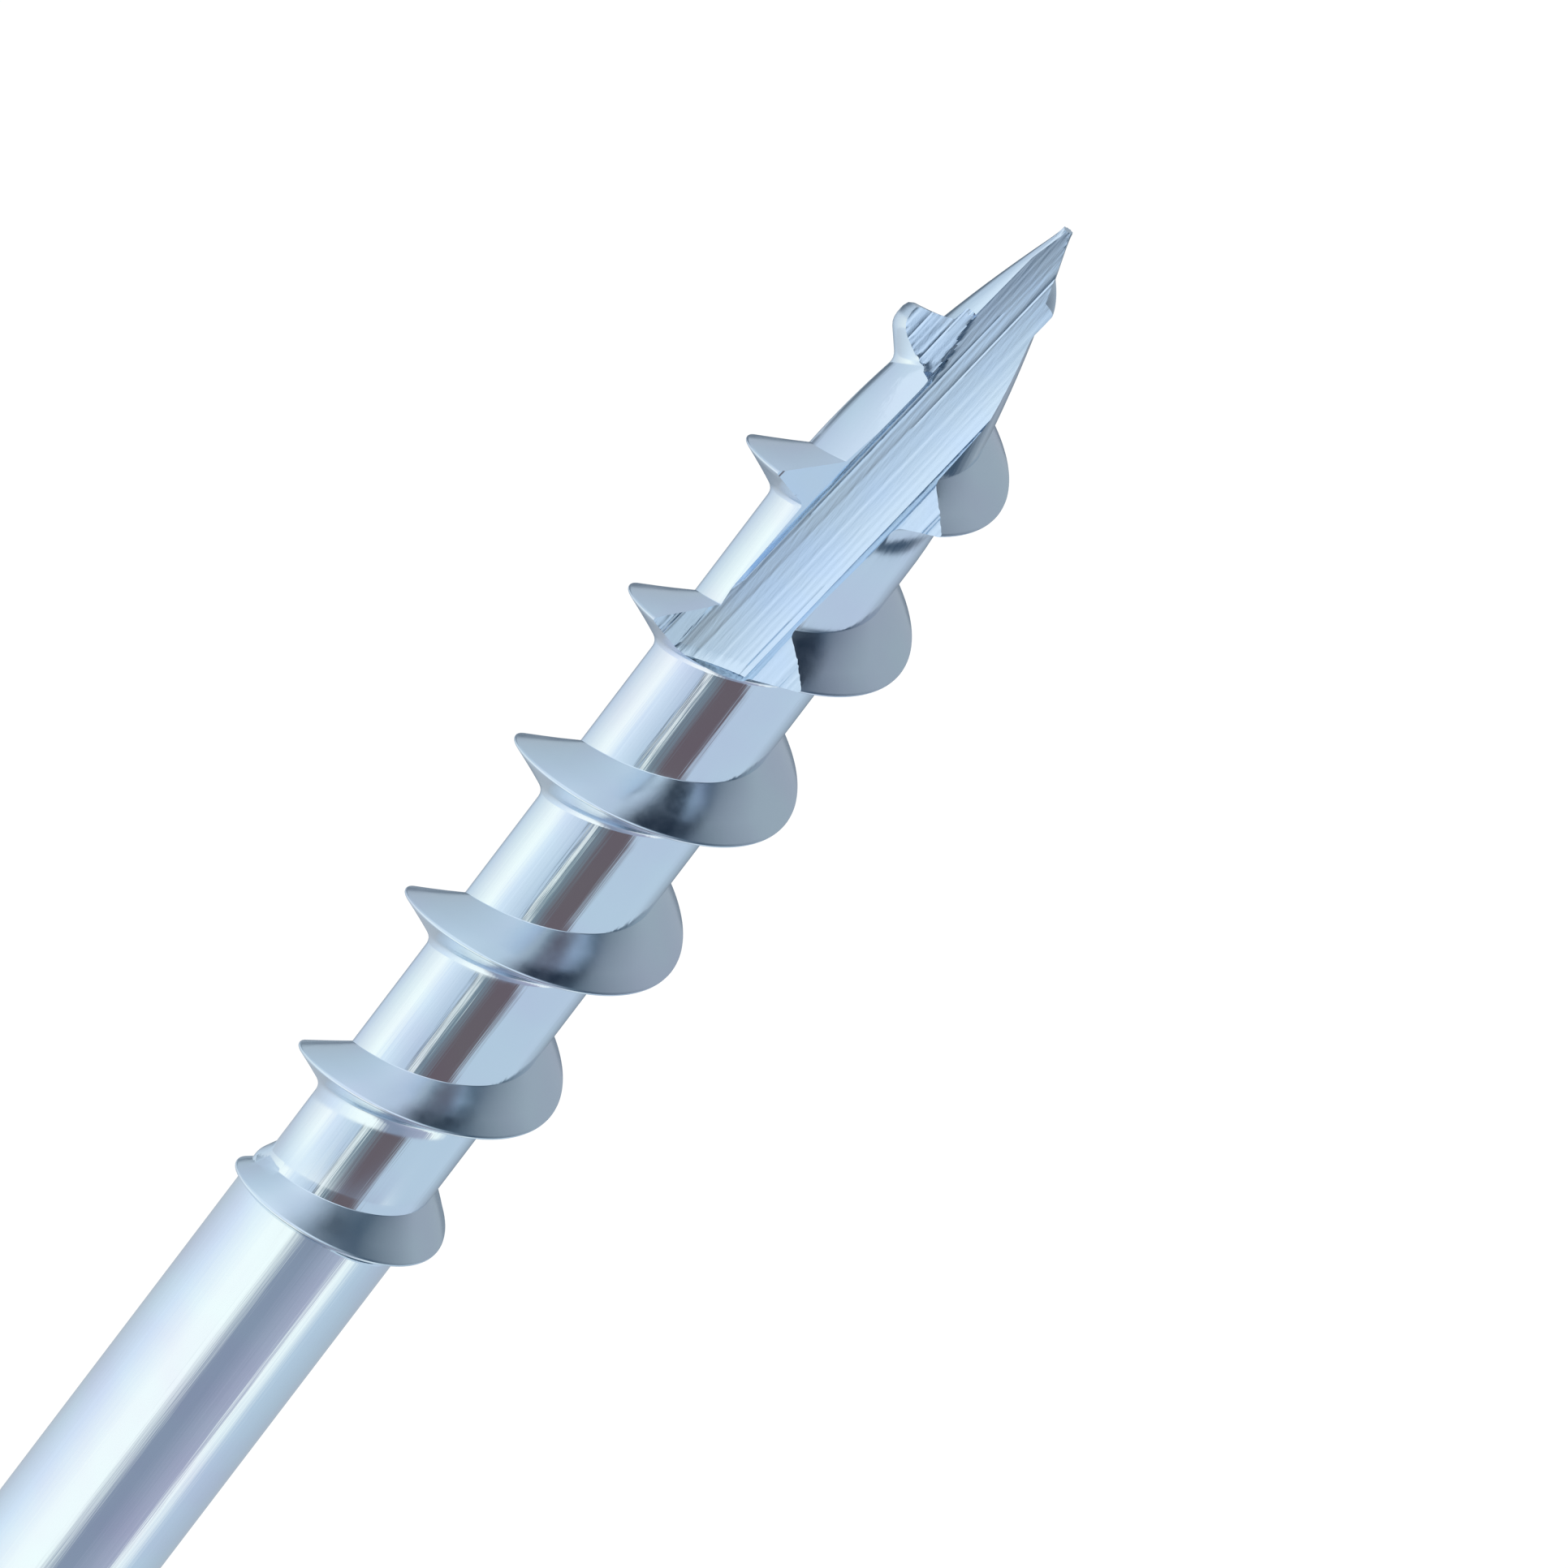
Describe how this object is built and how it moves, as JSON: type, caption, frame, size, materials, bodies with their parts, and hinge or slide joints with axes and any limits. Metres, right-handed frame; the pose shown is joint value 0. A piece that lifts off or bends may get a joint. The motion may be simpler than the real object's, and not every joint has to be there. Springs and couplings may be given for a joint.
{
  "type": "pocket hole screw",
  "caption": "Zinc-plated pocket hole screw with a washer head, square drive recess, plain shank, coarse right-hand thread and a fluted auger point.",
  "frame": {"origin": "centre of the flat top of the head, which the screw stands on", "axes": "+Z along the screw's axis from the head to the point; -Y is the side that the flute in the point faces"},
  "size_m": [0.0102, 0.0102, 0.0344],
  "materials": {
    "zinc_plated_steel": "bright zinc plating with a clear blue passivate"
  },
  "bodies": {
    "root": {"screw": "zinc_plated_steel"}
  },
  "joints": []
}
